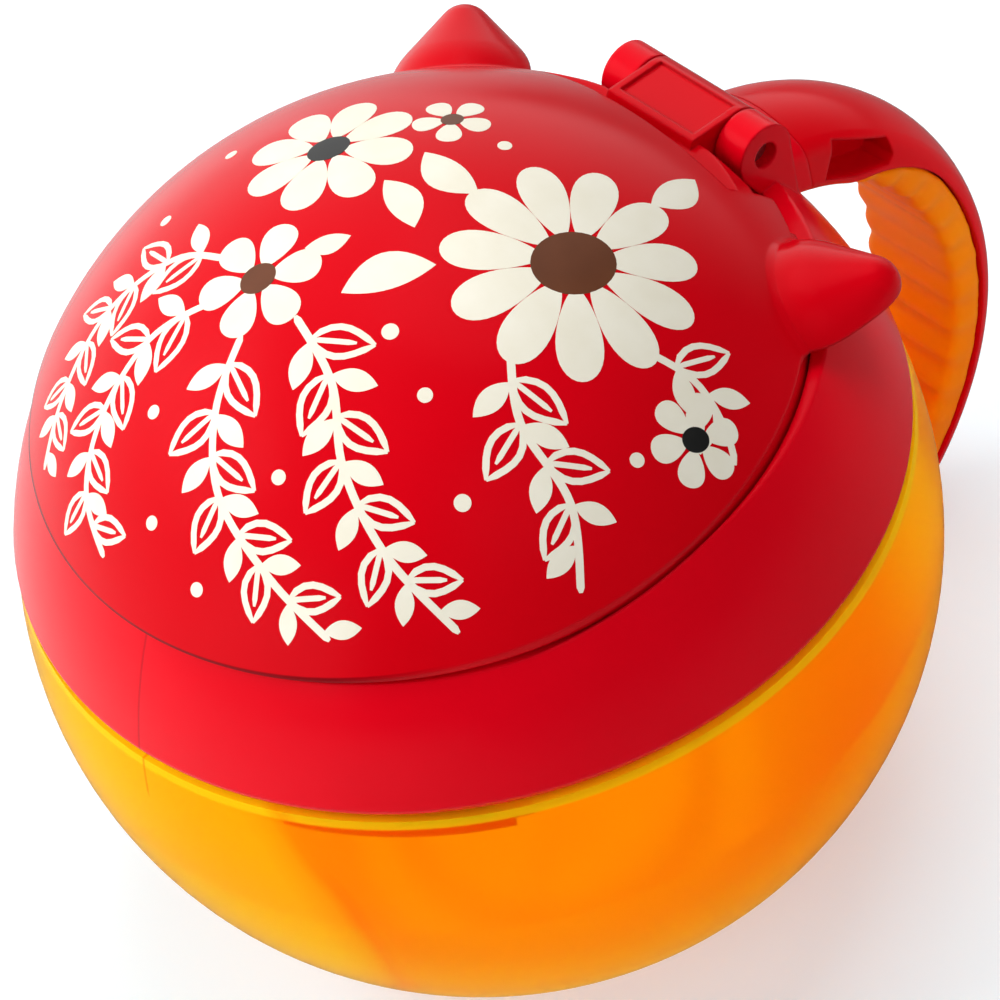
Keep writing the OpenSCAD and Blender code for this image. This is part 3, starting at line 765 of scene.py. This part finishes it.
def floor_lift(tree, path, at, away):
    """Own light of the floor: for the camera more of it far away, for glass nearly white, and
    for gloss towards the left."""
    white = spread(tree, away, *FLOOR_LIFT, *FAR_FROM, x=-1000, y=900)
    plain = maths(tree, "MULTIPLY", path.outputs["Is Camera Ray"], white, -350, -100)
    glass = maths(tree, "MULTIPLY", path.outputs["Is Transmission Ray"], GLASS_LIFT, -350, -300)
    seen = maths(tree, "MAXIMUM", plain, glass, -200, -100)
    left = spread(tree, along(tree, at, -CAMERA_RIGHT, y=-600), 0, GLOSS_LIFT, *GLOSS_LIFT_FROM,
                  x=-1000, y=-600)
    by_gloss = maths(tree, "MULTIPLY", path.outputs["Is Glossy Ray"], left, x=-700, y=-600)
    return maths(tree, "MAXIMUM", seen, by_gloss, x=-150, y=-400)


def pale_floor():
    """Matt white floor that keeps the object's shadow."""
    bm = bmesh.new()
    bmesh.ops.create_grid(bm, x_segments=1, y_segments=1, size=FLOOR_HALF)
    mesh = bpy.data.meshes.new("floor")
    bm.to_mesh(mesh)
    bm.free()
    floor = bpy.data.objects.new("floor", mesh)
    bpy.context.collection.objects.link(floor)
    mat = bpy.data.materials.new("pale_floor")
    mat.use_nodes = True
    tree = mat.node_tree
    tree.nodes.clear()
    path = add(tree, "ShaderNodeLightPath", -1200, 300)
    at = object_coords(tree)
    away = length_of(tree, at, -1200, 600)
    matt = add(tree, "ShaderNodeBsdfDiffuse", 0, 100)
    tree.links.new(floor_colour(tree, path, away), matt.inputs["Color"])
    lift = add(tree, "ShaderNodeEmission", 0, -100, Color=WHITE)
    tree.links.new(floor_lift(tree, path, at, away), lift.inputs["Strength"])
    both = add(tree, "ShaderNodeAddShader", 300, 0)
    tree.links.new(matt.outputs[0], both.inputs[0])
    tree.links.new(lift.outputs[0], both.inputs[1])
    out = add(tree, "ShaderNodeOutputMaterial", 600, 0)
    tree.links.new(both.outputs[0], out.inputs["Surface"])
    mesh.materials.append(mat)


def by_ray(tree, fac, a, b, x):
    """Shader a where fac is 0 and b where it is 1."""
    n = add(tree, "ShaderNodeMixShader", x, 0)
    for socket, value in zip(n.inputs, (fac, a, b)):
        tree.links.new(value, socket)
    return n.outputs[0]


def soft_room():
    """Dim white room; gloss sees it pale on its bright side and dark on the other, and the
    camera and glass see plain white."""
    world = bpy.data.worlds.new("soft_room")
    bpy.context.scene.world = world
    world.use_nodes = True
    tree = world.node_tree
    tree.nodes.clear()
    walls = add(tree, "ShaderNodeBackground", 0, 100, Color=WALLS, Strength=WALL_LIGHT)
    gloss = add(tree, "ShaderNodeBackground", 0, -100, Color=WHITE)
    direction = add(tree, "ShaderNodeTexCoord", -1100, -300).outputs["Generated"]
    toward = along(tree, direction, BRIGHT_SIDE, x=-900, y=-300)
    tree.links.new(spread(tree, toward, *ROOM_GLOSS, *ROOM_GLOSS_FROM, x=-500, y=-300),
                   gloss.inputs["Strength"])
    white = add(tree, "ShaderNodeBackground", 0, -300, Color=WHITE, Strength=1)
    path = add(tree, "ShaderNodeLightPath", -500, 300)
    seen = maths(tree, "MAXIMUM", path.outputs["Is Camera Ray"],
                 path.outputs["Is Transmission Ray"], x=-200, y=300)
    lit = by_ray(tree, path.outputs["Is Glossy Ray"], walls.outputs[0], gloss.outputs[0], 300)
    out = add(tree, "ShaderNodeOutputWorld", 900, 0)
    tree.links.new(by_ray(tree, seen, lit, white.outputs[0], 600), out.inputs["Surface"])


def lamp(name, kind, place, aim, power):
    """Lamp that doesn't show in gloss; returns its settings."""
    data = bpy.data.lights.new(name, kind)
    data.energy = power
    holder = bpy.data.objects.new(name, data)
    bpy.context.collection.objects.link(holder)
    holder.location = place
    holder.rotation_euler = (Vector(aim) - Vector(place)).to_track_quat("-Z", "Y").to_euler()
    holder.visible_glossy = False
    return data


def lamps():
    for name, place, size, power in SOFTBOXES:
        box = lamp(name, "AREA", place, BALL_MID, power)
        box.shape = "RECTANGLE"
        box.size, box.size_y = size
    spot = lamp("grip_spot", "SPOT", SPOT_PLACE, SPOT_AIM, SPOT_POWER)
    spot.spot_size = SPOT_SPREAD
    spot.spot_blend = 1
    spot.shadow_soft_size = SPOT_R


def camera():
    data = bpy.data.cameras.new("camera")
    data.sensor_fit = "HORIZONTAL"
    data.sensor_width = CAMERA_SENSOR
    data.lens = CAMERA_LENS
    data.clip_start, data.clip_end = 0.01, 100
    cam = bpy.data.objects.new("camera", data)
    bpy.context.collection.objects.link(cam)
    right = CAMERA_UP.cross(CAMERA_BACK)
    turn = Matrix((right, CAMERA_UP, CAMERA_BACK)).transposed().to_4x4()
    cam.matrix_world = Matrix.Translation(CAMERA_PLACE) @ turn
    bpy.context.scene.camera = cam


dress_nodes()
ribbed_grip(soft_orange())
printed_lid()
pale_floor()
soft_room()
lamps()
camera()
bpy.context.scene.view_settings.view_transform = "Standard"
